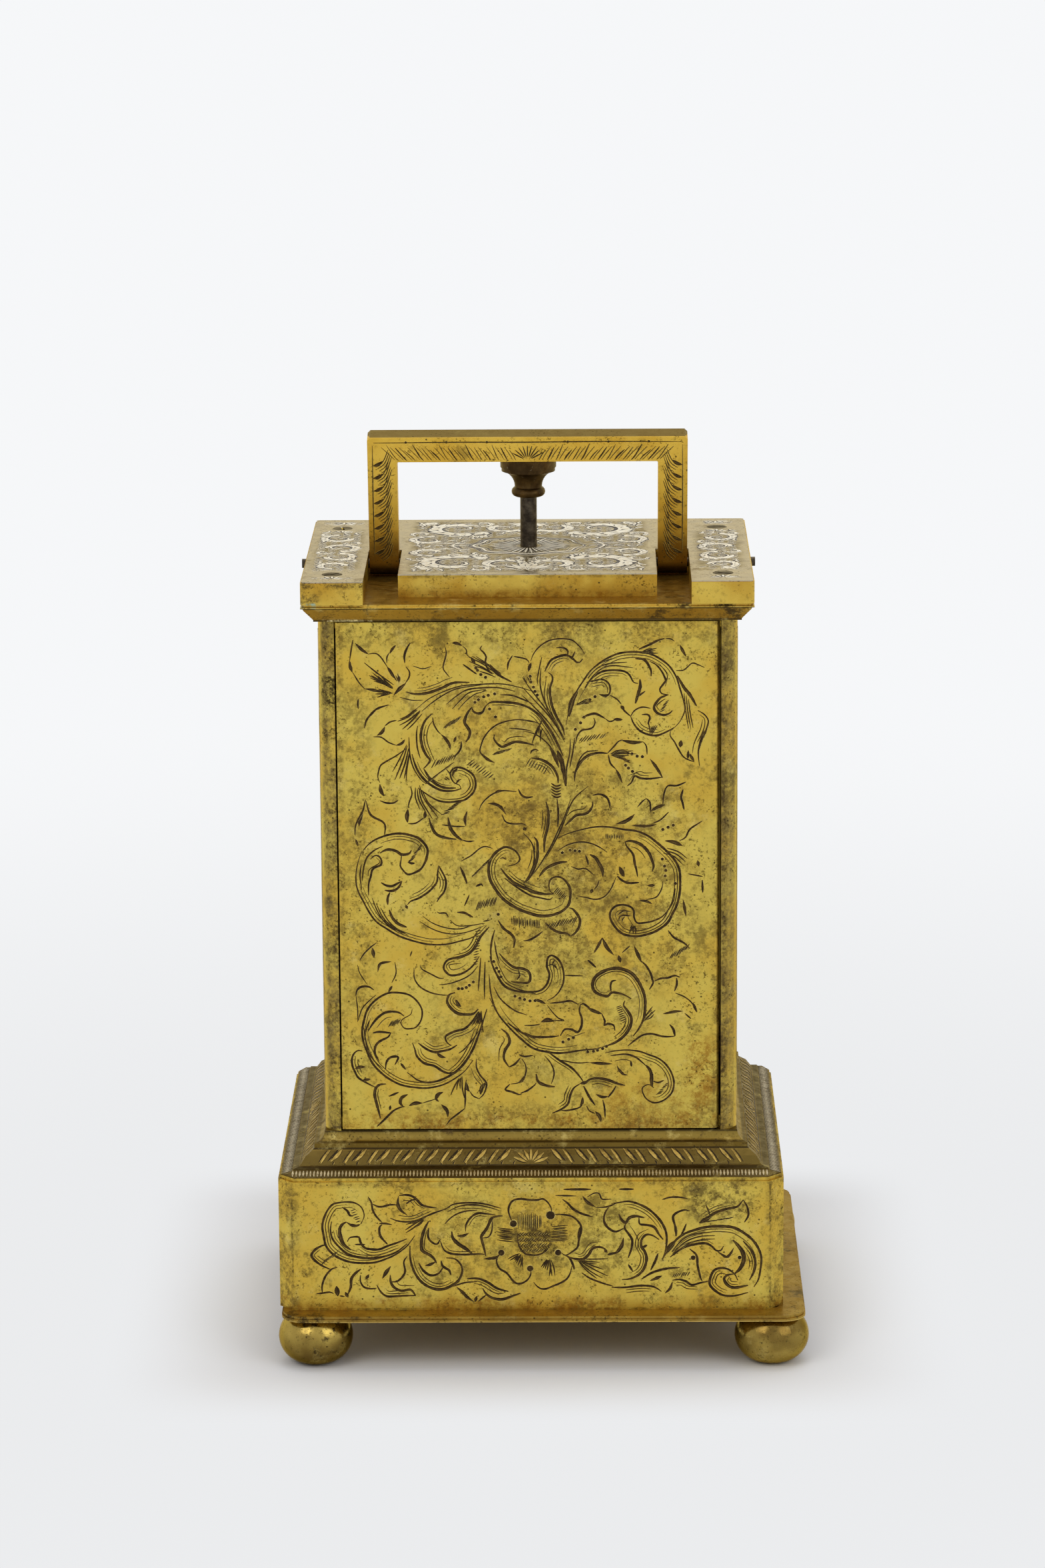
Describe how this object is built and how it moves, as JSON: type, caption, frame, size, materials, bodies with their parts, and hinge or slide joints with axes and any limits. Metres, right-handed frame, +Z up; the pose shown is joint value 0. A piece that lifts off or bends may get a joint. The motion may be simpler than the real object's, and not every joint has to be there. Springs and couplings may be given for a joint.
{
  "type": "travel clock",
  "caption": "Small engraved brass travel clock with a folding handle, repeat push-piece, back door, plinth and bun feet.",
  "frame": {"origin": "middle of the outline, level with the bottom of the feet", "axes": "+Z up, the back door faces -Y, the dial faces +Y, +X to the right as the back door is seen"},
  "size_m": [0.0928, 0.0754, 0.1605],
  "materials": {
    "gilt_brass": "gilt, engraved, rubbed and spotted with brown",
    "worn_gilt_brass": "gilt worn to brown in patches",
    "silvered_brass": "pale, dull, closely engraved",
    "steel": "grey-brown, lightly rusted",
    "bronze": "dark brown, turned",
    "movement_brass": "grained brass",
    "blued_steel": "blued",
    "glass": "clear, polished",
    "silvered_dial": "silvered, matt",
    "bell_metal": "turned bell metal"
  },
  "bodies": {
    "case": {"base_plate": "worn_gilt_brass", "foot_back_left": "worn_gilt_brass", "foot_back_right": "worn_gilt_brass", "foot_front_left": "worn_gilt_brass", "foot_front_right": "worn_gilt_brass", "plinth": "gilt_brass", "plinth_moulding": "gilt_brass", "case_body": "gilt_brass", "cornice": "gilt_brass", "front_frame": "gilt_brass", "top_slab": "silvered_brass", "top_screw_bl": "steel", "top_screw_br": "steel", "top_screw_fl": "steel", "top_screw_fr": "steel", "handle_pin_left": "steel", "handle_pin_right": "steel", "door_pin_top": "steel", "door_pin_bottom": "steel", "repeat_spring": "steel", "escape_wheel": "steel", "fly": "steel", "bell_stand": "steel", "repeat_bridge": "movement_brass", "dial_feet": "movement_brass", "back_plate": "movement_brass", "front_plate": "movement_brass", "pillars": "movement_brass", "going_barrel": "movement_brass", "strike_barrel": "movement_brass", "centre_wheel": "movement_brass", "third_wheel": "movement_brass", "contrate_wheel": "movement_brass", "platform": "movement_brass", "balance_cock": "movement_brass", "pin_wheel": "movement_brass", "gathering_wheel": "movement_brass", "pillar_screws": "blued_steel", "balance_spring": "blued_steel", "front_glass": "glass", "dial_plate": "silvered_dial", "chapter_ring": "silvered_dial", "bell": "bell_metal"},
    "handle": {"handle": "gilt_brass"},
    "back_door": {"back_door": "gilt_brass"},
    "repeat_piece": {"repeat_stem": "steel", "repeat_knob": "bronze"},
    "minute_arbor": {"cannon_pinion": "steel", "minute_hand": "blued_steel"},
    "hour_arbor": {"hour_wheel": "movement_brass", "hour_hand": "blued_steel"},
    "motion_wheel": {"minute_wheel": "movement_brass"},
    "going_winder": {"going_arbor": "steel"},
    "strike_winder": {"strike_arbor": "steel"},
    "balance": {"balance": "movement_brass"},
    "hammer": {"hammer": "steel"}
  },
  "joints": [
    {"name": "handle_pivot", "type": "hinge", "parent": "case", "child": "handle", "pos_m": [-0.0021, -0.0015, 0.1364], "axis": [1, 0, 0], "range_deg": [-12, 78]},
    {"name": "back_door_pivot", "type": "hinge", "parent": "case", "child": "back_door", "pos_m": [0.02965, -0.0239, 0.085], "axis": [0, 0, 1], "range_deg": [0, 95]},
    {"name": "repeat_push", "type": "slide", "parent": "case", "child": "repeat_piece", "axis": [0, 0, -1], "range_m": [0, 0.004], "stiffness_N_per_m": 400, "springref_m": -0.002, "deforming": ["repeat_spring"]},
    {"name": "hands_setting", "type": "hinge", "parent": "case", "child": "minute_arbor", "pos_m": [-0.0021, 0.0015, 0.08405], "axis": [0, 1, 0], "continuous": true},
    {"name": "hour_arbor_turn", "type": "hinge", "parent": "case", "child": "hour_arbor", "pos_m": [-0.0021, 0.0015, 0.08405], "axis": [0, 1, 0], "continuous": true},
    {"name": "minute_wheel_turn", "type": "hinge", "parent": "case", "child": "motion_wheel", "pos_m": [0.0099, 0.0015, 0.08405], "axis": [0, 1, 0], "continuous": true},
    {"name": "going_winding", "type": "hinge", "parent": "case", "child": "going_winder", "pos_m": [-0.0171, 0.0015, 0.07648], "axis": [0, 1, 0], "range_deg": [0, 1440]},
    {"name": "strike_winding", "type": "hinge", "parent": "case", "child": "strike_winder", "pos_m": [0.0129, 0.0015, 0.07648], "axis": [0, 1, 0], "range_deg": [0, 1440]},
    {"name": "balance_swing", "type": "hinge", "parent": "case", "child": "balance", "pos_m": [0.0009, 0.0025, 0.1127], "axis": [0, 0, 1], "range_deg": [-200, 200], "stiffness_Nm_per_rad": 0.000001},
    {"name": "hammer_swing", "type": "hinge", "parent": "case", "child": "hammer", "pos_m": [0.0219, 0.0015, 0.0712], "axis": [0, 1, 0], "range_deg": [-12, 0]}
  ],
  "couplings": [
    {"joint": "hour_arbor_turn", "follows": "hands_setting", "ratio": 0.083333},
    {"joint": "minute_wheel_turn", "follows": "hands_setting", "ratio": -0.33333}
  ]
}
